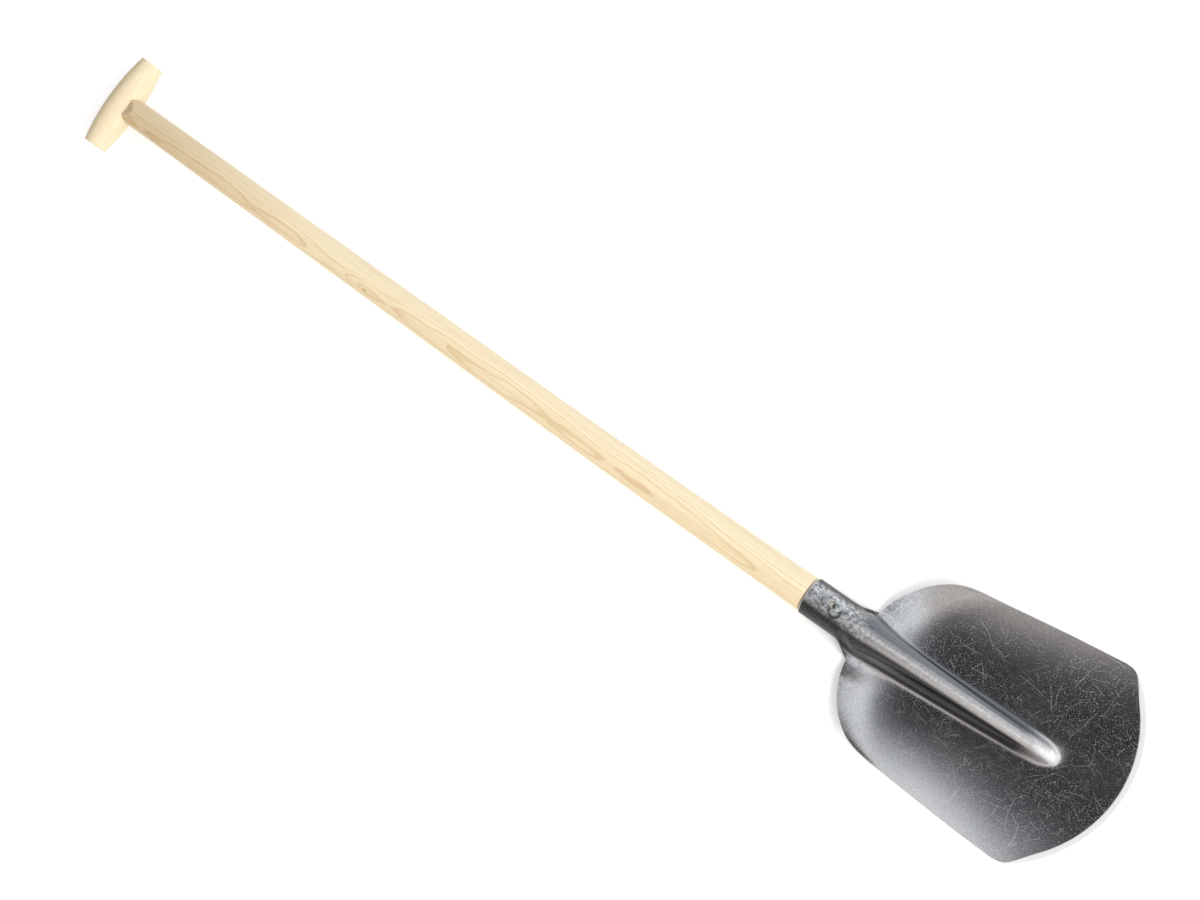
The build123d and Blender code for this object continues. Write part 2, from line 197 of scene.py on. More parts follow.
def rib_angle(w, h, a):
    def val(p):
        return a * (1 - np.cos(p)) * np.cos(p) + w * np.sin(p) - a * np.sin(p) ** 2 - h * np.cos(p)
    ps = np.linspace(1e-6, 2.8, 240)
    v = val(ps)
    k = np.nonzero(np.diff(np.sign(v)))[0]
    if len(k) == 0:
        return None
    lo, hi = ps[k[0]], ps[k[0] + 1]
    flo = v[k[0]]
    for _ in range(40):
        mid = (lo + hi) / 2
        fm = val(mid)
        if (fm > 0) == (flo > 0):
            lo, flo = mid, fm
        else:
            hi = mid
    p = (lo + hi) / 2
    if abs(np.cos(p)) < 1e-4:
        return None
    return p, (w - a * np.sin(p)) / np.cos(p)


_rib = {}


def rib_spec(x):
    """Crest radius, valley radius, flank angle, half width, floor and crest height at x."""
    key = round(float(x), 4)
    if key not in _rib:
        w, h, z0 = float(rib_half(x)), rib_height(x), float(floor_z(x))
        if h < 0.02:
            _rib[key] = None, w, z0
        else:
            r1, r2, k = float(crest_r(x)), float(valley_r(x)), 1.0
            sol = rib_angle(w, h, r1 + r2)
            while sol is None or sol[1] < 0.3:
                k *= 0.985
                sol = rib_angle(w, h, (r1 + r2) * k)
            _rib[key] = (r1 * k, r2 * k, sol[0], sol[1], h), w, z0
    return _rib[key]


def face_height(x, y):
    """Front surface height at one x for an array of y."""
    y = np.abs(np.asarray(y, float))
    spec, w, z0 = rib_spec(x)
    z = wing_z(x, y)
    if spec is None:
        return np.where(y < w, z0, z)
    r1, r2, p, l, h = spec
    ya, yb = r1 * np.sin(p), w - r2 * np.sin(p)
    cap = z0 + h - r1 + np.sqrt(np.clip(r1 ** 2 - y ** 2, 0, None))
    flank = z0 + h - r1 * (1 - np.cos(p)) - (y - ya) * np.tan(p)
    toe = z0 + r2 - np.sqrt(np.clip(r2 ** 2 - (w - y) ** 2, 0, None))
    rib = np.where(y < ya, cap, np.where(y < yb, flank, toe))
    return np.where(y < w, rib, z)


def half_section(x, n, split):
    u = np.linspace(0, 1, n + 1)
    if x < NECK_X:
        ang = (np.pi - SEAM_GAP / 2 / SOCKET_R) * u
        ring = np.c_[SOCKET_R * np.sin(ang), SOCKET_R * np.cos(ang)]
        if x <= SOCKET_TUBE:
            return ring
        t = smooth((x - SOCKET_TUBE) / (NECK_X - SOCKET_TUBE)) ** 1.6
        return (1 - t) * ring + t * half_section(NECK_X, n, split)
    spec, w, z0 = rib_spec(x)
    edge = float(half_width(x))
    yy = np.linspace(w, edge, 300)
    wing = np.c_[yy, wing_z(x, yy)]
    sw = np.r_[0, np.cumsum(np.linalg.norm(np.diff(wing, axis=0), axis=1))]
    if spec is None:
        l1, l2, l3 = w, 0.0, 0.0
    else:
        r1, r2, p, flank, h = spec
        l1, l2, l3 = r1 * p, flank, r2 * p
    root = l1 + l2 + l3
    at = monotone([0, split, 1], [0, root, root + sw[-1]])(u)
    out = np.empty((n + 1, 2))
    if spec is None:
        a = at <= l1
        out[a] = np.c_[at[a], np.full(a.sum(), z0)]
    else:
        top = z0 + h
        a = at <= l1
        t = at[a] / r1
        out[a] = np.c_[r1 * np.sin(t), top - r1 * (1 - np.cos(t))]
        b = (at > l1) & (at <= l1 + l2)
        d = at[b] - l1
        out[b] = np.c_[r1 * np.sin(p) + d * np.cos(p), top - r1 * (1 - np.cos(p)) - d * np.sin(p)]
        c = (at > l1 + l2) & (at <= root)
        t = p - (at[c] - l1 - l2) / r2
        out[c] = np.c_[w - r2 * np.sin(t), z0 + r2 * (1 - np.cos(t))]
    g = at > root
    gy = np.interp(at[g] - root, sw, yy)
    out[g] = np.c_[gy, wing_z(x, gy)]
    return out


def full(half):
    left = half[1:][::-1] * [-1, 1] if half.shape[1] == 2 else half[1:][::-1] * [1, -1, 1]
    return np.vstack([left, half])


def slope_x(x, y):
    lo, hi = max(x - 0.4, NECK_X), x + 0.4
    return (face_height(hi, y) - face_height(lo, y)) / (hi - lo)


def station(x, n, split):
    yz = full(half_section(x, n, split))
    front = np.c_[np.full(len(yz), x), yz]
    d = np.gradient(yz, axis=0)
    nrm = np.c_[-d[:, 1], d[:, 0]]
    nrm /= np.linalg.norm(nrm, axis=1, keepdims=True)
    thick = np.full(len(yz), SHEET)
    if x >= NECK_X:
        fy = d[:, 1] / np.where(np.abs(d[:, 0]) < 1e-6, 1e-6, d[:, 0])
        fx = np.clip(slope_x(x, yz[:, 0]), -1, 1)
        thick = SHEET * np.sqrt(1 + fx ** 2 / (1 + fy ** 2))
    rear = front.copy()
    rear[:, 1:] -= nrm * thick[:, None]
    return front, rear


CORNER_CY = SIDE_Y - CORNER_R
CORNER_CX = FRONT_CX + math.sqrt((FRONT_R - CORNER_R) ** 2 - CORNER_CY ** 2)
ARC = math.atan2(CORNER_CY, CORNER_CX - FRONT_CX)
ARC_LEN = FRONT_R * ARC
CORNER_LEN = CORNER_R * (math.pi / 2 - ARC)


def front_zone(n, split, ts, x0):
    u = np.linspace(0, 1, n + 1)
    s = monotone([0, split, 0.86, 1], [0, 16.5, ARC_LEN - 6, ARC_LEN + CORNER_LEN])(u)
    a = np.where(s < ARC_LEN, s / FRONT_R, ARC + (s - ARC_LEN) / CORNER_R)
    nrm = np.c_[np.cos(a), np.sin(a)]
    edge = np.where((s < ARC_LEN)[:, None], [FRONT_CX, 0] + FRONT_R * nrm,
                    [CORNER_CX, CORNER_CY] + CORNER_R * nrm)
    width = GROUND - (GROUND - 0.6) * smooth((u - 0.8) / 0.2)
    lean = smooth((u - 0.9) / 0.1)[:, None]
    inward = -(1 - lean) * nrm + lean * np.array([[-1.0, 0.0]])
    inward /= np.linalg.norm(inward, axis=1, keepdims=True)
    inner = edge + inward * width[:, None]
    start = half_section(x0, n, split)[:, 0]
    rows = [np.c_[x0 + (inner[:, 0] - x0) * t, start + (inner[:, 1] - start) * t] for t in ts]
    rows += [inner + (edge - inner) * f for f in (0.5, 1.0)]
    out = []
    for k, row in enumerate(rows):
        pts, nv = [], []
        for px, py in row:
            py = min(py, float(half_width(px)))
            z = float(face_height(px, np.array([py]))[0])
            fx = float((face_height(px + 0.3, np.array([py])) - face_height(px - 0.3, np.array([py])))[0]) / 0.6
            yy = face_height(px, np.array([py + 0.15, py - 0.15]))
            fy = float(yy[0] - yy[1]) / 0.3 if py > 0.2 else 0.0
            m = math.sqrt(1 + fx * fx + fy * fy)
            pts.append((px, py, z))
            nv.append((-fy / m, 1 / m))
        pts, nv = np.array(pts), np.array(nv)
        rear = pts.copy()
        rear[:, 1:] -= nv / (nv ** 2).sum(1, keepdims=True) * SHEET
        if k >= len(ts):
            f = 0.5 if k == len(ts) else 1.0
            pts[:, 2] -= GROUND_DROP * width / GROUND * f
        out.append((full(pts), full(rear)))
    return out


# ------------------------------------------------------------------ mesh helpers
def new_object(name, verts, faces, smooth_faces=True):
    me = bpy.data.meshes.new(name)
    me.from_pydata([tuple(v) for v in verts], [], faces)
    me.validate()
    me.update()
    if smooth_faces:
        me.shade_smooth()
    ob = bpy.data.objects.new(name, me)
    SCN.collection.objects.link(ob)
    return ob


def outward(ob):
    bm = bmesh.new()
    bm.from_mesh(ob.data)
    bmesh.ops.recalc_face_normals(bm, faces=bm.faces)
    bm.to_mesh(ob.data)
    bm.free()


def crease(ob, degrees):
    """Edges sharper than this shade as edges."""
    bm = bmesh.new()
    bm.from_mesh(ob.data)
    lim = math.radians(degrees)
    for e in bm.edges:
        if len(e.link_faces) == 2:
            e.smooth = e.calc_face_angle(0.0) < lim
    bm.to_mesh(ob.data)
    bm.free()


def cut(ob, cutters, solver="EXACT"):
    """Subtracts the cutters and bakes the result into the mesh."""
    for c in cutters:
        m = ob.modifiers.new("cut", "BOOLEAN")
        m.operation, m.solver, m.object = "DIFFERENCE", solver, c
    dg = bpy.context.evaluated_depsgraph_get()
    dg.update()
    me = bpy.data.meshes.new_from_object(ob.evaluated_get(dg))
    ob.modifiers.clear()
    old = ob.data
    ob.data = me
    me.name = ob.name
    bpy.data.meshes.remove(old)
    for c in cutters:
        cm = c.data
        bpy.data.objects.remove(c)
        bpy.data.meshes.remove(cm)


def set_attr(ob, name, values, kind="FLOAT"):
    at = ob.data.attributes.new(name, kind, "POINT")
    at.data.foreach_set("vector" if kind == "FLOAT_VECTOR" else "value",
                        np.asarray(values, np.float32).ravel())


def coords(ob):
    co = np.zeros(len(ob.data.vertices) * 3, np.float32)
    ob.data.vertices.foreach_get("co", co)
    return co.reshape(-1, 3).astype(float)


def row_to_handle(p):
    return (np.asarray(p, float) * 1000.0 - REST_SHIFT) @ R_REST


def row_to_blade(p):
    return (row_to_handle(p) - T_SOCK) @ R_SOCK


def ring_loft(rings, cap_start=True, cap_end=True):
    """Closed tube through equal rings of points."""
    verts = np.vstack(rings)
    n = len(rings[0])
    faces = []
    for i in range(len(rings) - 1):
        for j in range(n):
            k = (j + 1) % n
            faces.append((i * n + j, i * n + k, (i + 1) * n + k, (i + 1) * n + j))
    if cap_start:
        faces.append(tuple(range(n))[::-1])
    if cap_end:
        faces.append(tuple(range((len(rings) - 1) * n, len(rings) * n)))
    return verts, faces


# ------------------------------------------------------------------ blade
N = 96
SPLIT = 0.5
X_SWING = 222.0
near_neck = list(np.arange(1.2, SOCKET_TUBE, 1.6)) + list(np.arange(40.0, NECK_X - 0.4, 0.8))
shoulders = [62, 62.15, 62.35, 62.6, 62.9, 63.2, 63.6, 64, 64.5, 65, 65.6, 66.2, 67, 67.8, 68.7, 69.6,
             70.6, 71.6, 72.7, 73.8, 75, 76.3, 77.7, 79.2, 80.8, 82.5, 84.3, 86.2, 88.2]
run = list(np.arange(90, X_SWING, 2.2)) + [X_SWING]
xs = [0.0, 0.35] + near_neck + shoulders + run
rows = [station(x, N, SPLIT) for x in xs]
ts = np.r_[np.linspace(0.02, 0.44, 24), np.linspace(0.465, 1.0, 26)]
rows += front_zone(N, SPLIT, ts, X_SWING)
n_ground = 2
F = np.array([r[0] for r in rows])
B = np.array([r[1] for r in rows])
S, C = F.shape[:2]

# closed loop per station: front face, rounded edge, back face, rounded edge
RND = 0.28


def lip(top, bot, side):
    """Three points that round the sheet's edge."""
    mid = (top + bot) / 2
    t = bot - top
    ln = np.linalg.norm(t, axis=-1, keepdims=True)
    return [top + t * (0.16) + side * RND * 0.75, mid + side * RND, top + t * 0.84 + side * RND * 0.75]


def unit(v):
    return v / np.maximum(np.linalg.norm(v, axis=-1, keepdims=True), 1e-9)


side_r = unit(F[:, -1] - F[:, -2])
side_l = unit(F[:, 0] - F[:, 1])
loops = np.concatenate([F] + [p[:, None] for p in lip(F[:, -1], B[:, -1], side_r)] + [B[:, ::-1]]
                       + [p[:, None] for p in lip(B[:, 0], F[:, 0], side_l)], axis=1)
L = loops.shape[1]
verts = loops.reshape(-1, 3)
faces = []
for i in range(S - 1):
    for j in range(L):
        k = (j + 1) % L
        faces.append((i * L + j, i * L + k, (i + 1) * L + k, (i + 1) * L + j))
# ends: rim lip and front lip, each closed by a rounded strip
extra = []


def end_cap(i, out):
    base = len(verts) + sum(len(e) for e in extra)
    top, bot = loops[i, :C], loops[i, C + 3:2 * C + 3][::-1]
    strips = lip(top, bot, out)
    m = len(strips)
    block = np.concatenate(strips, axis=0)
    extra.append(block)
    ring_top = [i * L + j for j in range(C)]
    ring_bot = [i * L + C + 3 + (C - 1 - j) for j in range(C)]
    rows_ = [ring_top] + [[base + s * C + j for j in range(C)] for s in range(m)] + [ring_bot]
    for a, b in zip(rows_[:-1], rows_[1:]):
        for j in range(C - 1):
            faces.append((a[j], a[j + 1], b[j + 1], b[j]))
    # close the two narrow ends of the strip
    r = [i * L + C + s for s in range(3)]
    for chain, j in ((r, C - 1),):
        c1 = [ring_top[j]] + chain + [ring_bot[j]]
        c2 = [row[j] for row in rows_]
        for s in range(len(c1) - 1):
            q = [c1[s], c1[s + 1], c2[s + 1], c2[s]]
            q = [v for idx, v in enumerate(q) if v not in q[:idx]]
            if len(q) > 2:
                faces.append(tuple(q))
    l_ = [i * L + 2 * C + 3 + s for s in range(3)][::-1]
    c1 = [ring_top[0]] + l_ + [ring_bot[0]]
    c2 = [row[0] for row in rows_]
    for s in range(len(c1) - 1):
        q = [c1[s], c1[s + 1], c2[s + 1], c2[s]]
        q = [v for idx, v in enumerate(q) if v not in q[:idx]]
        if len(q) > 2:
            faces.append(tuple(q))


end_cap(0, np.tile([[-1.0, 0, 0]], (C, 1)) * 0.9)
end_cap(S - 1, unit(F[-1] - F[-3]) * 0.02)
allv = np.vstack([verts] + extra)
blade = new_object("blade_sheet", blade_to_row(allv), faces)
outward(blade)

# oval hole in the socket
th = np.linspace(0, 2 * np.pi, 48, endpoint=False)
ox = np.where(np.cos(th) > 0, SCREW_X + HOLE_TO - HOLE_W / 2, SCREW_X + HOLE_FROM + HOLE_W / 2)
oval = np.c_[ox + HOLE_W / 2 * np.cos(th), HOLE_W / 2 * np.sin(th), np.zeros(48)]
turn = np.array([[1, 0, 0], [0, math.cos(math.radians(SCREW_TURN)), math.sin(math.radians(SCREW_TURN))],
                 [0, -math.sin(math.radians(SCREW_TURN)), math.cos(math.radians(SCREW_TURN))]])
rings = [blade_to_row((oval + [0, 0, z]) @ turn.T) for z in (13.0, 26.0)]
v, f = ring_loft(rings)
cutter = new_object("hole_cutter", v, f, False)
outward(cutter)
cut(blade, [cutter])
crease(blade, 38)

pb = row_to_blade(coords(blade))
socket_mask = 1 - smooth((pb[:, 0] - 50.0) / 46.0)
set_attr(blade, "socket", socket_mask)
# painted shade: dark bands along both rib flanks and on the socket's sides and underside, standing in for shade and
# dark reflections
painted_shade_up, painted_shade_low = np.zeros(len(pb)), np.zeros(len(pb))
for i in np.nonzero((pb[:, 0] < 276) & (np.abs(pb[:, 1]) < 32))[0]:
    x_, y_ = pb[i, 0], pb[i, 1]
    w_ = float(rib_half(max(x_, 30.0)))
    v_ = abs(y_) / w_
    if y_ > 0:
        rib_shade_band = float(smooth((v_ - 0.08) / 0.14) * (1 - smooth((v_ - 0.86) / 0.12)))
    else:
        rib_shade_band = float(smooth((v_ - 0.30) / 0.14) * (1 - smooth((v_ - 0.70) / 0.14)))
    rib_shade_band *= float(1 - smooth((x_ - 234.0) / 26.0))
    tube_shade_band = float(smooth((abs(y_ - 2.5) - 7.0) / 8.0)) if pb[i, 2] > 0 else 1.0
    k_ = float(smooth((x_ - 44.0) / 26.0))
    band = rib_shade_band * k_ + tube_shade_band * (1 - k_)
    if x_ > 62 and pb[i, 2] < float(face_height(x_, np.array([abs(y_)]))[0]) - 0.9:
        band *= 0.35
    painted_shade_up[i], painted_shade_low[i] = (band * k_, band * (1 - k_)) if y_ > 0 else (0.0, band)
u_scr = pb @ turn.T
near_screw = np.hypot(u_scr[:, 0] - SCREW_X, u_scr[:, 1])
# painted shade: a dark ring round the screw head, added to the lower shade mask
ring_ = smooth((near_screw - 3.0) / 2.0) * (1 - smooth((near_screw - 6.3) / 1.5)) * (pb[:, 2] > 0)
painted_shade_low = np.maximum(painted_shade_low, ring_ * 0.9)
# painted highlight: the socket's rim lip is made brighter
set_attr(blade, "rim_lip_highlight", smooth((0.9 - pb[:, 0]) / 0.6))
# painted highlight: a bright line along the rib's crest and a bright spot at its rounded end
crest_highlight = np.exp(-((pb[:, 1] + 1.6) / 2.6) ** 2) * smooth((pb[:, 0] - 34.0) / 40.0) * (1 - smooth((pb[:, 0] - 262.0) / 12.0))
rib_end_highlight = np.exp(-(((pb[:, 0] - 268.0) / 7.0) ** 2 + ((pb[:, 1] - 4.0) / 7.5) ** 2))
set_attr(blade, "painted_rib_highlight", np.clip(crest_highlight * 0.62 + rib_end_highlight, 0, 1) * (pb[:, 2] > 0))
set_attr(blade, "flank_up_painted_shade", painted_shade_up)
set_attr(blade, "flank_low_painted_shade", painted_shade_low)
# how far inside the front outline a point lies, in mm
ax_, ay_ = pb[:, 0], np.abs(pb[:, 1])
rad = np.hypot(ax_ - FRONT_CX, ay_)
in_arc = np.arctan2(ay_, ax_ - FRONT_CX) < ARC
depth = np.where(in_arc, FRONT_R - rad, CORNER_R - np.hypot(ax_ - CORNER_CX, ay_ - CORNER_CY))
along = np.where(in_arc, FRONT_R * np.arctan2(ay_, np.maximum(ax_ - FRONT_CX, 1e-3)),
                 ARC_LEN + CORNER_R * (np.arctan2(ay_ - CORNER_CY, np.maximum(ax_ - CORNER_CX, 1e-3)) - ARC))
ground_w = GROUND - (GROUND - 0.5) * smooth((along - 88.0) / (ARC_LEN + CORNER_LEN - 92.0))
depth = np.where(ax_ < CORNER_CX - 1.0, 30.0, depth)
set_attr(blade, "edge_mm", np.clip(depth * GROUND / ground_w, -1, 30))
set_attr(blade, "bc", pb / 1000.0, "FLOAT_VECTOR")
above = np.zeros(len(pb))
for i in np.nonzero(depth < 6.5)[0]:
    above[i] = 1.0 if pb[i, 2] > float(face_height(pb[i, 0], np.array([ay_[i]]))[0]) - 1.36 else 0.0
set_attr(blade, "front_side", above)

# ------------------------------------------------------------------ shaft
def shaft_r(x):
    return (SHAFT_D_GRIP + (SHAFT_D_RIM - SHAFT_D_GRIP) * x / RIM_X) / 2


def barrel_r(y):
    """Grip radius at y."""
    half = GRIP_LENGTH / 2 - GRIP_EDGE
    rm, re = GRIP_MID / 2, GRIP_END / 2
    sag = rm - re
    big = (half ** 2 + sag ** 2) / (2 * sag)
    return rm - big + np.sqrt(np.maximum(big ** 2 - np.asarray(y, float) ** 2, 0))


NA = 128
ang = np.linspace(0, 2 * np.pi, NA, endpoint=False)
ca, sa = np.cos(ang), np.sin(ang)
R_TURN = np.array([[1, 0, 0], [0, math.cos(GRIP_TURN), -math.sin(GRIP_TURN)],
                   [0, math.sin(GRIP_TURN), math.cos(GRIP_TURN)]])


def turned(p):
    """From the grip's own frame to the handle frame."""
    return np.asarray(p, float) @ R_TURN.T


def unturned(p):
    return np.asarray(p, float) @ R_TURN


def end_x(y, z):
    """Where the coped upper end of the shaft lies."""
    cope = np.sqrt(np.maximum(barrel_r(y) ** 2 - z ** 2, 0.0))
    bev = COPE_X - (shaft_r(COPE_X) - np.abs(z)) / math.tan(math.radians(COPE_DEG))
    return np.maximum(cope, bev)


r0 = shaft_r(20)
x_end = end_x(r0 * ca, r0 * sa)
rings, meta = [], []
# cap, from the middle out
for f_ in (0.0001, 0.2, 0.4, 0.55, 0.68, 0.78, 0.86, 0.92, 0.965):
    y, z = r0 * f_ * ca, r0 * f_ * sa
    rings.append(turned(np.c_[end_x(y, z), y, z]))
    meta.append(1.0)
y, z = (r0 - 0.25) * ca, (r0 - 0.25) * sa
rings.append(turned(np.c_[end_x(y, z) + 0.05, y, z]))
meta.append(1.0)
rings.append(turned(np.c_[x_end + 0.35, r0 * ca, r0 * sa]))
meta.append(0.0)
for t in (0.06, 0.16, 0.32, 0.55, 0.8):
    x = x_end + 0.35 + (44.0 - x_end) * t
    r = shaft_r(x)
    rings.append(turned(np.c_[x, r * ca, r * sa]))
    meta.append(0.0)
ca, sa = np.cos(ang + GRIP_TURN), np.sin(ang + GRIP_TURN)
for x in list(np.arange(46.0, BEND_START, 6.0)) + list(np.arange(BEND_START, RIM_X - 5.0, 4.0)):
    d = max(x - BEND_START, 0.0)
    cz, sl = 0.5 * CURV * d * d, math.atan(CURV * d)
    r = float(shaft_r(x))
    rings.append(np.c_[x - r * sa * math.sin(sl), r * ca, cz + r * sa * math.cos(sl)])
    meta.append(0.0)
in_r = SOCKET_R - SHEET - 0.05
for xb, r in ((-3.4, SHAFT_D_RIM / 2), (-3.0, SHAFT_D_RIM / 2 - 0.03), (-2.2, SHAFT_D_RIM / 2 - 0.16),
              (-1.0, in_r + 0.2), (0.0, in_r), (6, in_r), (14, in_r), (20, in_r), (26, in_r), (33, in_r),
              (40, in_r), (52, 16.5), (66, 14.5), (80, 12.7), (90.5, 11.4), (91.6, 10.9), (92.0, 9.8),
              (92.0, 5.0), (92.0, 0.001)):
    p = np.c_[np.full(NA, xb), r * ca, r * sa]
    rings.append(p @ R_SOCK.T + T_SOCK)
    meta.append(0.0 if r > 9.9 else 1.0)
ca, sa = np.cos(ang), np.sin(ang)
v, f = ring_loft(rings)
shaft = new_object("shaft_body", handle_to_row(v), f)
outward(shaft)

# pilot hole for the screw, so that the bared wood shows round it
rings = []
for z in (-8.0, 19.0):
    p = np.c_[SCREW_X + 2.5 * np.cos(th), 2.5 * np.sin(th), np.full(48, z)] @ turn.T
    rings.append(blade_to_row(p))
v, f = ring_loft(rings)
pilot = new_object("pilot_cutter", v, f, False)
outward(pilot)
cut(shaft, [pilot])
crease(shaft, 40)


def grain_handle(p):
    """Straightened coordinates of wood that was bent after it was sawn."""
    x, y, z = p[:, 0].copy(), p[:, 1].copy(), p[:, 2].copy()
    d = np.clip(x - BEND_START, 0, SPAN)
    z -= 0.5 * CURV * d * d
    past = x > RIM_X
    z[past] -= (x[past] - RIM_X) * math.tan(SLOPE)
    return np.c_[x, y, z] / 1000.0


ph = row_to_handle(coords(shaft))
set_attr(shaft, "grain", grain_handle(ph), "FLOAT_VECTOR")
facet = np.zeros(len(ph))
low = ph[:, 0] < 30
pl = unturned(ph[low])
facet[low] = (pl[:, 0] < end_x(pl[:, 1], pl[:, 2]) + 0.12).astype(float)
facet[row_to_blade(coords(shaft))[:, 0] > 91.0] = 1.0
set_attr(shaft, "endgrain", facet)
pbs = row_to_blade(coords(shaft))
us = pbs @ turn.T
set_attr(shaft, "bare", ((np.hypot(us[:, 0] - SCREW_X, us[:, 1]) < 11) & (us[:, 2] > 10)).astype(float))
# painted shade: the wood darkens where it meets the socket rim
set_attr(shaft, "rim_gap_shade", smooth((pbs[:, 0] + 1.7) / 0.8) * (pbs[:, 0] < 6))

# tenon, flush with the far side of the grip
rt = TENON_D / 2 - 0.07
rings = []
for x, k in ((24.0, 1.0), (10.0, 1.0), (0.0, 1.0), (-10.0, 1.0)):
    rings.append(np.c_[np.full(NA, x), rt * ca, rt * sa])
y, z = rt * ca, rt * sa
rings.append(np.c_[-np.sqrt(barrel_r(y) ** 2 - z ** 2) + 0.2, y, z])
for k in (0.975, 0.9, 0.75, 0.5, 0.25, 0.001):
    y, z = rt * k * ca, rt * k * sa
    rings.append(np.c_[-np.sqrt(barrel_r(y) ** 2 - z ** 2) + 0.04, y, z])
v, f = ring_loft(rings[::-1])
tenon = new_object("shaft_tenon", handle_to_row(turned(v)), f)
outward(tenon)
crease(tenon, 40)
pt = unturned(row_to_handle(coords(tenon)))
set_attr(tenon, "grain", pt / 1000.0, "FLOAT_VECTOR")
set_attr(tenon, "endgrain", (pt[:, 0] < -np.sqrt(np.maximum(barrel_r(pt[:, 1]) ** 2 - pt[:, 2] ** 2, 0)) + 0.3)
         .astype(float))

# ------------------------------------------------------------------ grip
half = GRIP_LENGTH / 2
ys = np.r_[-half + GRIP_EDGE, np.linspace(-half + GRIP_EDGE + 0.6, half - GRIP_EDGE - 0.6, 60), half - GRIP_EDGE]
prof = [(0.001, -half), (5.0, -half), (9.5, -half), (GRIP_END / 2 - GRIP_EDGE, -half),
        (GRIP_END / 2 - GRIP_EDGE * 0.35, -half + GRIP_EDGE * 0.3)]
prof += [(float(barrel_r(y)), float(y)) for y in ys]
prof += [(GRIP_END / 2 - GRIP_EDGE * 0.35, half - GRIP_EDGE * 0.3), (GRIP_END / 2 - GRIP_EDGE, half),
         (9.5, half), (5.0, half), (0.001, half)]
rings = [np.c_[r * ca, np.full(NA, y), r * sa] for r, y in prof]
v, f = ring_loft(rings)
grip = new_object("grip_barrel", handle_to_row(turned(v)), f)
outward(grip)
rings = [handle_to_row(np.c_[np.full(NA, x), TENON_D / 2 * ca, TENON_D / 2 * sa]) for x in (-30.0, 30.0)]
v, f = ring_loft(rings)
mort = new_object("mortise_cutter", v, f, False)
outward(mort)
cut(grip, [mort])
crease(grip, 32)
pg = unturned(row_to_handle(coords(grip)))
set_attr(grip, "grain", pg[:, [1, 0, 2]] / 1000.0, "FLOAT_VECTOR")
set_attr(grip, "endgrain", (np.abs(pg[:, 1]) > half - 0.12).astype(float))

# ------------------------------------------------------------------ screw
prof = [(0.001, SOCKET_R - 28.0)]
# threaded shank
z, k = SOCKET_R - 27.4, 0
while z < SOCKET_R - 1.0:
    grow = min(1.0, (z - (SOCKET_R - 28.0)) / 6.0)
    prof.append((max(1.55 * grow, 0.1), z))
    prof.append((max(2.45 * grow, 0.2), z + 0.9))
    z += 1.8
prof += [(2.3, SOCKET_R - 0.9), (2.3, SOCKET_R), (SCREW_D / 2 - 0.3, SOCKET_R), (SCREW_D / 2 - 0.08, SOCKET_R + 0.08),
         (SCREW_D / 2, SOCKET_R + 0.3), (SCREW_D / 2, SOCKET_R + 0.95)]
for t in np.linspace(0.08, 1.0, 14):
    a = t * np.pi / 2
    prof.append((SCREW_D / 2 * math.cos(a) ** 0.72 if t < 1 else 0.001,
                 SOCKET_R + 1.0 + (SCREW_H - 1.0) * math.sin(a)))
NS = 72
a2 = np.linspace(0, 2 * np.pi, NS, endpoint=False)
rings = [np.c_[SCREW_X + r * np.cos(a2), r * np.sin(a2), np.full(NS, z)] @ turn.T for r, z in prof]
v, f = ring_loft(rings)
screw = new_object("screw", blade_to_row(v), f)
outward(screw)
# six-lobed recess
a3 = np.linspace(0, 2 * np.pi, 96, endpoint=False)
rr = 1.72 + 0.34 * np.cos(6 * (a3 + 0.2))
rings = []
for z, k in ((SOCKET_R + 1.0, 0.55), (SOCKET_R + 1.25, 1.0), (SOCKET_R + 5.0, 1.0)):
    rings.append(blade_to_row(np.c_[SCREW_X + rr * k * np.cos(a3), rr * k * np.sin(a3), np.full(96, z)] @ turn.T))
v, f = ring_loft(rings)
rec = new_object("recess_cutter", v, f, False)
outward(rec)
cut(screw, [rec])
crease(screw, 35)


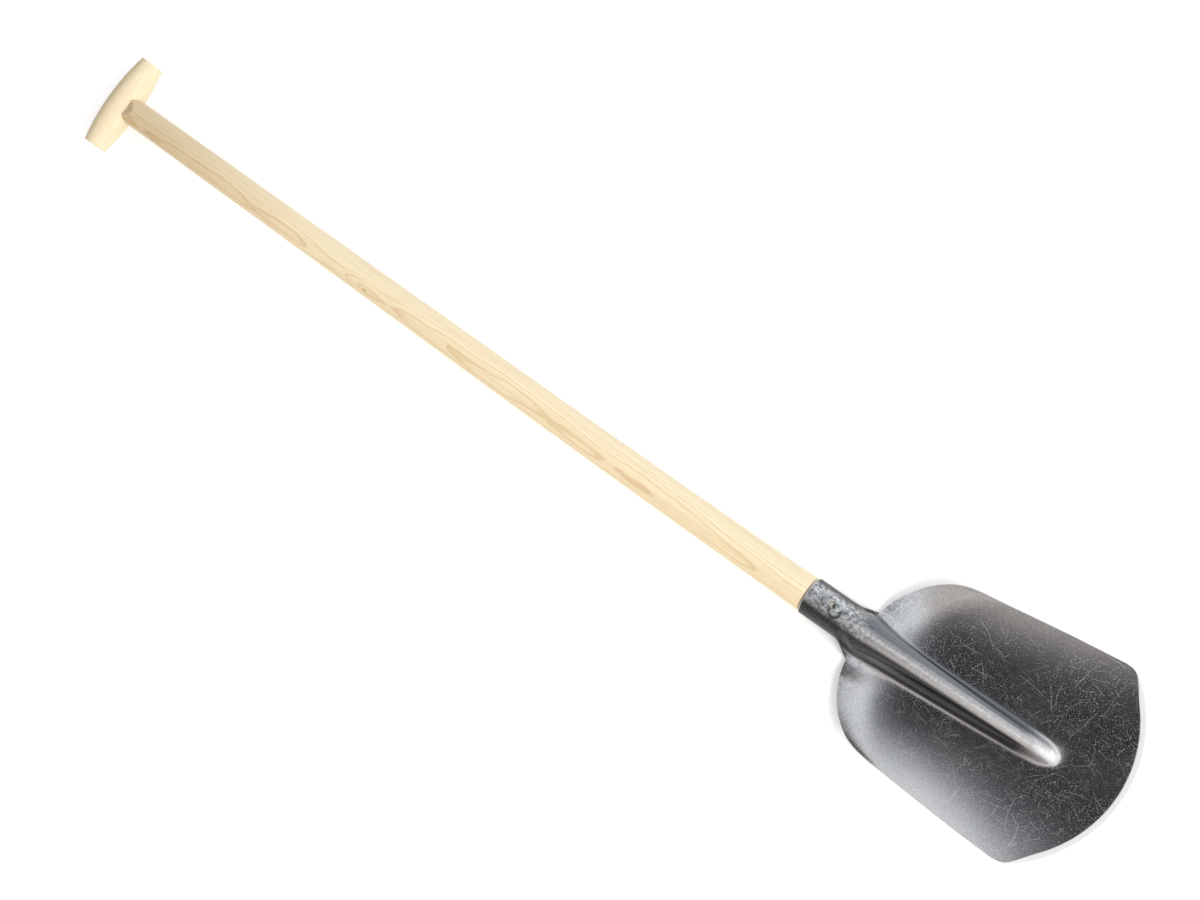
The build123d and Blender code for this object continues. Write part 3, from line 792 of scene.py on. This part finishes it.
# ------------------------------------------------------------------ node helpers
class Mat:
    def __init__(self, name):
        self.m = bpy.data.materials.new(name)
        self.m.use_nodes = True
        self.t = self.m.node_tree
        self.t.nodes.clear()
        self.out = self.t.nodes.new("ShaderNodeOutputMaterial")
        self.bsdf = self.t.nodes.new("ShaderNodeBsdfPrincipled")
        self.t.links.new(self.bsdf.outputs[0], self.out.inputs[0])

    def put(self, sock, val):
        if val is None:
            return
        if isinstance(val, bpy.types.NodeSocket):
            self.t.links.new(val, sock)
        elif isinstance(val, (tuple, list)) and len(val) == 3 and sock.type == "RGBA":
            sock.default_value = (*val, 1.0)
        else:
            sock.default_value = val

    def node(self, kind, ins=None, **props):
        n = self.t.nodes.new(kind)
        for k, v in props.items():
            setattr(n, k, v)
        for k, v in (ins or {}).items():
            self.put(n.inputs[k], v)
        return n

    def attr(self, name):
        return self.node("ShaderNodeAttribute", attribute_name=name)

    def math(self, op, a, b=None, c=None, clamp=False):
        n = self.node("ShaderNodeMath", operation=op, use_clamp=clamp)
        self.put(n.inputs[0], a)
        if b is not None:
            self.put(n.inputs[1], b)
        if c is not None:
            self.put(n.inputs[2], c)
        return n.outputs[0]

    def vmath(self, op, a, b=None):
        n = self.node("ShaderNodeVectorMath", operation=op)
        self.put(n.inputs[0], a)
        if b is not None:
            self.put(n.inputs[3 if op == "SCALE" else 1], b)
        return n.outputs[1 if op in ("LENGTH", "DOT_PRODUCT", "DISTANCE") else 0]

    def mapping(self, vec, loc=(0, 0, 0), rot=(0, 0, 0), scale=(1, 1, 1), kind="POINT"):
        return self.node("ShaderNodeMapping", {"Vector": vec, "Location": loc, "Rotation": rot, "Scale": scale},
                         vector_type=kind).outputs[0]

    def noise(self, vec, scale=1.0, detail=2.0, rough=0.5, dist=0.0, out=0):
        return self.node("ShaderNodeTexNoise", {"Vector": vec, "Scale": scale, "Detail": detail,
                                               "Roughness": rough, "Distortion": dist}).outputs[out]

    def ramp(self, fac, stops, interp="LINEAR"):
        n = self.node("ShaderNodeValToRGB", {"Fac": fac})
        cr = n.color_ramp
        cr.interpolation = interp
        while len(cr.elements) < len(stops):
            cr.elements.new(0.5)
        for e, (p, c) in zip(cr.elements, stops):
            e.position = p
            e.color = (c, c, c, 1) if isinstance(c, (int, float)) else (*c, 1)
        return n.outputs[0]

    def maprange(self, v, a, b, c=0.0, d=1.0, kind="LINEAR"):
        n = self.node("ShaderNodeMapRange", interpolation_type=kind)
        for i, q in enumerate((v, a, b, c, d)):
            self.put(n.inputs[i], q)
        return n.outputs[0]

    def mix(self, fac, a, b, blend="MIX"):
        n = self.node("ShaderNodeMix", data_type="RGBA", blend_type=blend, clamp_factor=True)
        self.put(n.inputs[0], fac)
        self.put(n.inputs[6], a)
        self.put(n.inputs[7], b)
        return n.outputs[2]

    def mixf(self, fac, a, b):
        n = self.node("ShaderNodeMix", data_type="FLOAT", clamp_factor=True)
        self.put(n.inputs[0], fac)
        self.put(n.inputs[2], a)
        self.put(n.inputs[3], b)
        return n.outputs[0]

    def bump(self, height, strength=0.2, distance=0.001, normal=None):
        n = self.node("ShaderNodeBump", {"Height": height, "Strength": strength, "Distance": distance})
        if normal is not None:
            self.put(n.inputs["Normal"], normal)
        return n.outputs[0]

    def set(self, **kw):
        for k, v in kw.items():
            self.put(self.bsdf.inputs[k.replace("_", " ")], v)


def ash(name, light, dark, seed, pith, tan_end=None, ring_mm=3.1, shade_side_tint=(0.95, 0.89, 0.80)):
    """Ring-porous pale timber. grain runs along X of the grain attribute, metres."""
    m = Mat(name)
    g = m.attr("grain").outputs["Vector"]
    end = m.attr("endgrain").outputs["Fac"]
    sep = m.node("ShaderNodeSeparateXYZ", {0: g})
    # slow wander of the rings along the stick
    wander = m.noise(m.mapping(g, (seed, 0, 0), scale=(4.2, 9, 9)), 1.0, 2.0, 0.5, 0, 1)
    wander = m.vmath("SCALE", m.vmath("SUBTRACT", wander, (0.5, 0.5, 0.5)), 0.020)
    fine = m.noise(m.mapping(g, (0, seed, 0), scale=(26, 120, 120)), 1.0, 2.0, 0.5, 0, 1)
    fine = m.vmath("SCALE", m.vmath("SUBTRACT", fine, (0.5, 0.5, 0.5)), 0.0014)
    p = m.vmath("ADD", m.vmath("ADD", g, wander), fine)
    p = m.vmath("SUBTRACT", p, pith)
    flat = m.vmath("MULTIPLY", p, (0.0, 1.0, 1.0))
    dist = m.vmath("LENGTH", flat)
    # one pin knot, with the rings swelling round it
    off = m.vmath("MULTIPLY", m.vmath("SUBTRACT", g, (0.420, -0.0125, 0.0118)), (0.55, 1.0, 1.0))
    away = m.vmath("LENGTH", off)
    knot = m.maprange(away, 0.0006, 0.0024, 1.0, 0.0)
    dist = m.math("ADD", dist, m.maprange(away, 0.0, 0.024, 0.0034, 0.0, "SMOOTHSTEP"))
    ring = m.math("MULTIPLY", dist, 1000.0 / ring_mm)
    saw = m.math("FRACT", ring)
    # early wood: a narrow porous pink-tan line, then pale dense wood darkening slowly
    early = m.ramp(saw, [(0.0, 0.10), (0.05, 1.0), (0.16, 0.75), (0.30, 0.12), (0.6, 0.0), (0.94, 0.05), (1.0, 0.10)])
    year = m.node("ShaderNodeTexWhiteNoise", {"W": m.math("FLOOR", ring)}, noise_dimensions="1D").outputs[0]
    early = m.math("MULTIPLY", early, m.maprange(year, 0, 1, 0.5, 1.0))
    # pores: short dark dashes along the grain, thick in the early wood
    pore = m.noise(m.mapping(g, (seed * 2, 0, 0), scale=(170, 2600, 2600)), 1.0, 1.0, 0.5)
    pore = m.ramp(pore, [(0.0, 0.0), (0.60, 0.0), (0.70, 1.0), (1.0, 1.0)])
    pore = m.math("MULTIPLY", pore, m.maprange(early, 0, 1, 0.12, 1.0))
    streak = m.noise(m.mapping(g, (seed * 3, 1, 0), scale=(9, 420, 420)), 1.0, 3.0, 0.6)
    broad = m.noise(m.mapping(g, (seed, 3, 0), scale=(3, 40, 40)), 1.0, 2.0, 0.5)
    base = m.mix(m.maprange(broad, 0.3, 0.7), light, tuple(light[i] * 0.90 + dark[i] * 0.10 for i in range(3)))
    base = m.mix(m.maprange(streak, 0.35, 0.75, 0.0, 0.30), base, dark)
    base = m.mix(m.math("MULTIPLY", early, 0.60), base, dark)
    # painted shade: darker and warmer toward one side (-y) of the stick
    shade_side = m.maprange(sep.outputs[1], 0.004, -0.017, 0.0, 1.0, "SMOOTHSTEP")
    base = m.mix(shade_side, base, m.mix(1.0, base, shade_side_tint, "MULTIPLY"))
    base = m.mix(m.math("MULTIPLY", pore, 0.55), base, tuple(c * 0.55 for c in dark))
    if tan_end is not None:
        tan = m.maprange(sep.outputs[0], 0.03, 0.34, 1.0, 0.0, "SMOOTHSTEP")
        base = m.mix(tan, base, m.mix(1.0, base, tan_end, "MULTIPLY"))
        base = m.mix(m.math("MULTIPLY", knot, 0.6), base, (0.36, 0.20, 0.10))
    # sawn end grain is darker and open
    speck = m.noise(m.mapping(g, scale=(300, 1900, 1900)), 1.0, 1.0, 0.5)
    endc = m.mix(m.math("MULTIPLY", early, 0.7), (0.60, 0.47, 0.31), (0.38, 0.26, 0.15))
    endc = m.mix(m.ramp(speck, [(0.0, 0.0), (0.55, 0.0), (0.68, 0.8), (1.0, 0.8)]), endc, tuple(c * 0.42 for c in dark))
    base = m.mix(m.attr("bare").outputs["Fac"], base, (1.0, 0.93, 0.76))
    # painted shade in the gap between the wood and the socket rim
    base = m.mix(m.math("MULTIPLY", m.attr("rim_gap_shade").outputs["Fac"], 0.8), base, (0.10, 0.075, 0.05))
    col = m.mix(end, base, endc)
    hgt = m.math("ADD", m.math("MULTIPLY", pore, -1.0), m.math("MULTIPLY", streak, 0.35))
    nor = m.bump(hgt, 0.35, 0.00018)
    rough = m.mixf(early, 0.46, 0.60)
    m.set(Base_Color=col, Roughness=m.mixf(end, rough, 0.8), Normal=nor, Specular_IOR_Level=0.35,
          Coat_Weight=m.mixf(end, 0.10, 0.0), Coat_Roughness=0.35)
    return m


LIGHT = (0.91, 0.815, 0.585)
DARK = (0.64, 0.42, 0.22)
m_shaft = ash("ash_shaft", LIGHT, DARK, 1.7, (0.0, 0.036, -0.040), (0.78, 0.74, 0.69), 2.3)
m_grip = ash("ash_grip", tuple(c * 0.91 for c in LIGHT), tuple(c * 0.86 for c in DARK), 6.3, (0.0, 0.060, -0.062), None, 1.9,
             (0.86, 0.78, 0.66))


def hairlines(m, vec, cells, half_long, half_wide, curve, keep, seed):
    """Fine curved scuffs: one short bent line per cell, each at its own angle."""
    v = m.mapping(vec, (seed * 0.137, seed * 0.071, 0), (0, 0, seed * 1.1), (cells, cells, 0))
    n = m.node("ShaderNodeTexVoronoi", {"Vector": v, "Scale": 1.0, "Randomness": 1.0},
               voronoi_dimensions="2D", feature="F1")
    d = m.vmath("SUBTRACT", v, n.outputs["Position"])
    c = m.node("ShaderNodeSeparateColor", {0: n.outputs["Color"]})
    rot = m.node("ShaderNodeVectorRotate", {"Vector": d, "Angle": m.math("MULTIPLY", c.outputs[0], 6.283)},
                 rotation_type="Z_AXIS").outputs[0]
    p = m.node("ShaderNodeSeparateXYZ", {0: rot})
    x, y = p.outputs[0], p.outputs[1]
    bend = m.math("MULTIPLY", m.math("MULTIPLY", x, x), m.maprange(c.outputs[1], 0, 1, -curve, curve))
    off = m.math("ABSOLUTE", m.math("SUBTRACT", y, bend))
    line = m.maprange(off, half_wide * 0.35, half_wide, 1.0, 0.0)
    ends = m.maprange(m.math("ABSOLUTE", x), half_long * 0.55, half_long, 1.0, 0.0)
    on = m.math("LESS_THAN", c.outputs[2], keep)
    amp = m.maprange(c.outputs[1], 0, 1, 0.35, 1.0)
    return m.math("MULTIPLY", m.math("MULTIPLY", m.math("MULTIPLY", line, ends), on), amp)


def steel(name):
    m = Mat(name)
    g = m.attr("bc").outputs["Vector"]
    sock = m.attr("socket").outputs["Fac"]
    edge = m.attr("edge_mm").outputs["Fac"]
    fside = m.attr("front_side").outputs["Fac"]
    up = m.attr("flank_up_painted_shade").outputs["Fac"]
    low = m.attr("flank_low_painted_shade").outputs["Fac"]
    warp = m.noise(m.mapping(g, scale=(22, 22, 22)), 1.0, 1.0, 0.5, 0, 1)
    warp = m.vmath("SCALE", m.vmath("SUBTRACT", warp, (0.5, 0.5, 0.5)), 0.010)
    flat = m.vmath("ADD", g, warp)
    total = None
    for seed, cells, keep in ((1, 22, 1.0), (2, 28, 1.0), (3, 38, 1.0), (4, 56, 0.95), (5, 86, 0.8)):
        wide = 0.00012 * cells + 0.0018
        h = hairlines(m, flat, cells, 0.40, wide, 0.38, keep, seed)
        total = h if total is None else m.math("MAXIMUM", total, h)
    patch = m.noise(m.mapping(g, scale=(24, 24, 24)), 1.0, 3.0, 0.6)
    scr = m.math("MULTIPLY", total, m.maprange(patch, 0.36, 0.60, 0.50, 1.0))
    grit = m.noise(m.mapping(g, scale=(1500, 1500, 1500)), 1.0, 2.0, 0.7)
    dots = m.noise(m.mapping(g, scale=(880, 880, 880)), 1.0, 1.0, 0.5)
    speck = m.math("MULTIPLY", m.ramp(dots, [(0, 0), (0.57, 0), (0.70, 1), (1, 1)]),
                   m.maprange(patch, 0.34, 0.62, 0.35, 1.0))
    cloud = m.noise(m.mapping(g, scale=(7, 9, 9)), 1.0, 3.0, 0.55)
    mott = m.noise(m.mapping(g, scale=(260, 330, 330)), 1.0, 4.0, 0.72)
    col = m.mix(m.maprange(cloud, 0.3, 0.7), (0.54, 0.55, 0.56), (0.64, 0.64, 0.64))
    scale_c = m.mix(m.maprange(mott, 0.40, 0.62), (0.13, 0.135, 0.14), (0.80, 0.81, 0.82))
    col = m.mix(m.math("MULTIPLY", sock, 0.9), col, scale_c)
    # painted shade: dark blue-grey on the upper rib flank, near black on the lower flank, on the socket's sides and
    # round the screw head
    col = m.mix(m.math("MULTIPLY", up, 0.84), col, (0.095, 0.108, 0.130))
    col = m.mix(m.math("MULTIPLY", low, 0.94), col, (0.018, 0.020, 0.020))
    # painted highlight: a bright line on the socket's rim lip
    rim_highlight = m.attr("rim_lip_highlight").outputs["Fac"]
    col = m.mix(m.math("MULTIPLY", rim_highlight, 0.85), col, (0.80, 0.74, 0.68))
    rough = m.maprange(cloud, 0.3, 0.7, 0.20, 0.26)
    grain2 = m.noise(m.mapping(g, scale=(620, 620, 620)), 1.0, 3.0, 0.75)
    col = m.mix(m.maprange(grain2, 0.36, 0.66, 0.30, 0.0), col, (0.12, 0.12, 0.125))
    rough = m.math("ADD", rough, m.math("MULTIPLY", grit, 0.05))
    rough = m.math("ADD", rough, m.math("MULTIPLY", m.math("MULTIPLY", sock, mott), 0.24))
    # ground edge: bright, brushed across
    inside = m.math("MULTIPLY", m.maprange(edge, 4.4, 5.0, 1.0, 0.0), fside)
    brush = m.noise(m.mapping(g, scale=(900, 900, 900)), 1.0, 2.0, 0.6)
    h = m.math("ADD", m.math("MULTIPLY", scr, -0.5), m.math("MULTIPLY", grit, 0.35))
    h = m.math("ADD", h, m.math("MULTIPLY", m.math("MULTIPLY", sock, mott), 2.2))
    nor = m.bump(h, 0.30, 0.00012)
    wave = m.noise(m.mapping(g, scale=(26, 26, 26)), 1.0, 1.0, 0.5)
    nor = m.bump(wave, 0.10, 0.0006, nor)
    m.set(Base_Color=col, Metallic=1.0, Roughness=rough, Normal=nor)
    # burrs of the scuffs and of the ground edge scatter light instead of mirroring it
    dull = m.node("ShaderNodeBsdfPrincipled", {"Base Color": m.mix(brush, (0.80, 0.80, 0.80), (0.95, 0.95, 0.95)),
                                               "Metallic": 0.15, "Roughness": 0.50})
    amount = m.math("MULTIPLY", m.math("MAXIMUM", m.math("MULTIPLY", scr, 0.72), m.math("MULTIPLY", speck, 0.36)),
                    m.math("SUBTRACT", 1.0, m.math("MAXIMUM", m.math("MULTIPLY", sock, 0.6), m.math("MAXIMUM", low, up))))
    # painted highlight: the crest line and the rib end take the same pale scattering finish
    painted_rib_highlight = m.math("MULTIPLY", m.attr("painted_rib_highlight").outputs["Fac"], m.maprange(mott, 0.36, 0.60, 0.45, 0.95))
    amount = m.math("MAXIMUM", amount, painted_rib_highlight)
    amount = m.math("MAXIMUM", amount, m.math("MULTIPLY", inside, 0.94), clamp=True)
    mixer = m.node("ShaderNodeMixShader")
    m.t.links.new(amount, mixer.inputs[0])
    m.t.links.new(m.bsdf.outputs[0], mixer.inputs[1])
    m.t.links.new(dull.outputs[0], mixer.inputs[2])
    m.t.links.new(mixer.outputs[0], m.out.inputs[0])
    return m


m_steel = steel("bare_steel")


def zinc(name):
    m = Mat(name)
    g = m.node("ShaderNodeTexCoord").outputs["Object"]
    n = m.noise(m.mapping(g, scale=(900, 900, 900)), 1.0, 3.0, 0.6)
    w = m.noise(m.mapping(g, scale=(260, 260, 260)), 1.0, 2.0, 0.5)
    col = m.mix(m.maprange(w, 0.35, 0.65), (0.34, 0.39, 0.38), (0.54, 0.57, 0.55))
    m.set(Base_Color=col, Metallic=1.0, Roughness=m.maprange(n, 0.3, 0.7, 0.22, 0.40),
          Normal=m.bump(n, 0.25, 0.00008))
    return m


m_zinc = zinc("zinc_plate")

for ob, mat, slot_, node_ in ((blade, m_steel, "blade_steel", "blade"), (shaft, m_shaft, "shaft_ash", "shaft"),
                              (tenon, m_shaft, "shaft_ash", "shaft"), (grip, m_grip, "grip_ash", "t_grip"),
                              (screw, m_zinc, "screw_zinc", "socket_screw")):
    ob.data.materials.clear()
    ob.data.materials.append(mat.m)
    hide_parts(node_)
    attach(ob, "root")

# ------------------------------------------------------------------ floor, light, camera
fl = Mat("floor_paper")
fg = fl.node("ShaderNodeTexCoord").outputs["Object"]
fn = fl.noise(fl.mapping(fg, scale=(3, 3, 3)), 1.0, 2.0, 0.5)
fl.set(Base_Color=fl.mix(fn, (0.90, 0.90, 0.90), (0.93, 0.93, 0.93)), Roughness=0.9, Specular_IOR_Level=0.1,
       Emission_Color=(1, 1, 1), Emission_Strength=0.26)
me = bpy.data.meshes.new("floor")
e = 14.0
me.from_pydata([(-e, -e, 0), (e, -e, 0), (e, e, 0), (-e, e, 0)], [], [(0, 1, 2, 3)])
floor = bpy.data.objects.new("floor", me)
floor.data.materials.append(fl.m)
SCN.collection.objects.link(floor)
floor.location.z = -0.0006

world = bpy.data.worlds.new("studio")
SCN.world = world
world.use_nodes = True
wt = world.node_tree
wt.nodes.clear()


def wnode(kind, ins=(), **props):
    n = wt.nodes.new(kind)
    for k, v in props.items():
        setattr(n, k, v)
    for k, v in dict(ins).items():
        if isinstance(v, bpy.types.NodeSocket):
            wt.links.new(v, n.inputs[k])
        else:
            n.inputs[k].default_value = v
    return n


def wramp(fac, stops):
    n = wnode("ShaderNodeValToRGB", {0: fac})
    n.color_ramp.interpolation = "EASE"
    while len(n.color_ramp.elements) < len(stops):
        n.color_ramp.elements.new(0.5)
    for el, (p, c) in zip(n.color_ramp.elements, stops):
        el.position, el.color = p, (*c, 1)
    return n.outputs[0]


def toward(v):
    """Cosine between the sky direction and v."""
    v = Vector(v).normalized()
    return wnode("ShaderNodeVectorMath", {0: direction, 1: tuple(v)}, operation="DOT_PRODUCT").outputs["Value"]


direction = wnode("ShaderNodeTexCoord").outputs["Generated"]
# a pale room with one dark quarter high up beyond the handle
sky = wramp(toward((-0.82, 0.06, 0.57)), [(0.0, (1.10, 1.12, 1.155)), (0.64, (1.25, 1.27, 1.30)),
                                           (0.755, (0.74, 0.76, 0.79)), (0.842, (0.25, 0.26, 0.28)),
                                           (0.93, (0.060, 0.062, 0.068)), (1.0, (0.022, 0.024, 0.027))])
warm = wramp(toward((-0.5, -0.75, 0.45)), [(0.66, (1.0, 1.0, 1.0)), (0.84, (0.66, 0.60, 0.56))])
tint = wnode("ShaderNodeMix", {0: 1.0, 6: sky, 7: warm}, data_type="RGBA", blend_type="MULTIPLY")
soft = wramp(wnode("ShaderNodeMapRange", {0: toward((0.72, -0.12, 0.68)), 1: -1.0, 2: 1.0, 3: 0.0, 4: 1.0}).outputs[0],
             [(0.0, (0.02, 0.02, 0.025)), (0.42, (0.20, 0.20, 0.22)), (0.75, (0.74, 0.74, 0.75)), (1.0, (1.0, 0.99, 0.96))])
path = wnode("ShaderNodeLightPath")
both = wnode("ShaderNodeMix", {0: path.outputs["Is Glossy Ray"], 6: soft, 7: tint.outputs[2]}, data_type="RGBA")
wb = wnode("ShaderNodeBackground", {0: both.outputs[2], 1: 1.0})
wo = wnode("ShaderNodeOutputWorld", {0: wb.outputs[0]})


def area(name, loc, target, size, power, color=(1, 1, 1)):
    li = bpy.data.lights.new(name, "AREA")
    li.shape = "RECTANGLE"
    li.size, li.size_y = size
    li.energy = power
    li.color = color
    ob = bpy.data.objects.new(name, li)
    ob.location = loc
    d = Vector(target) - Vector(loc)
    ob.rotation_mode = "QUATERNION"
    ob.rotation_quaternion = d.to_track_quat("-Z", "Y")
    SCN.collection.objects.link(ob)
    return ob


for li in (area("key", (2.7, -0.4, 2.5), (0.0, 0, 0), (1.7, 1.7), 82, (1.0, 0.985, 0.95)),
           area("fill", (0.2, 2.6, 1.9), (0.0, 0, 0), (3.0, 1.2), 16)):
    li.visible_glossy = False

# the camera's axes and place, in the handle frame: rows are right, down, forward
CAM_R = np.array([[0.7749959, 0.6117967, -0.158386], [0.5581427, -0.7801685, -0.2825135], [-0.2964086, 0.1305448, -0.9460973]])
CAM_C = np.array([1188.176, -195.295, 1400.768])
cam_d = bpy.data.cameras.new("camera")
cam_d.sensor_width = 36.0
cam_d.lens = 42.0
cam_d.clip_start, cam_d.clip_end = 0.05, 60.0
cam = bpy.data.objects.new("camera", cam_d)
SCN.collection.objects.link(cam)
axes = np.column_stack([R_REST @ CAM_R[0], -(R_REST @ CAM_R[1]), -(R_REST @ CAM_R[2])])
mw = Matrix([list(r) + [0] for r in axes] + [[0, 0, 0, 1]])
mw.translation = Vector(handle_to_row(CAM_C))
cam.matrix_world = mw
SCN.camera = cam
SCN.view_settings.view_transform = "Standard"
SCN.view_settings.look = "None"
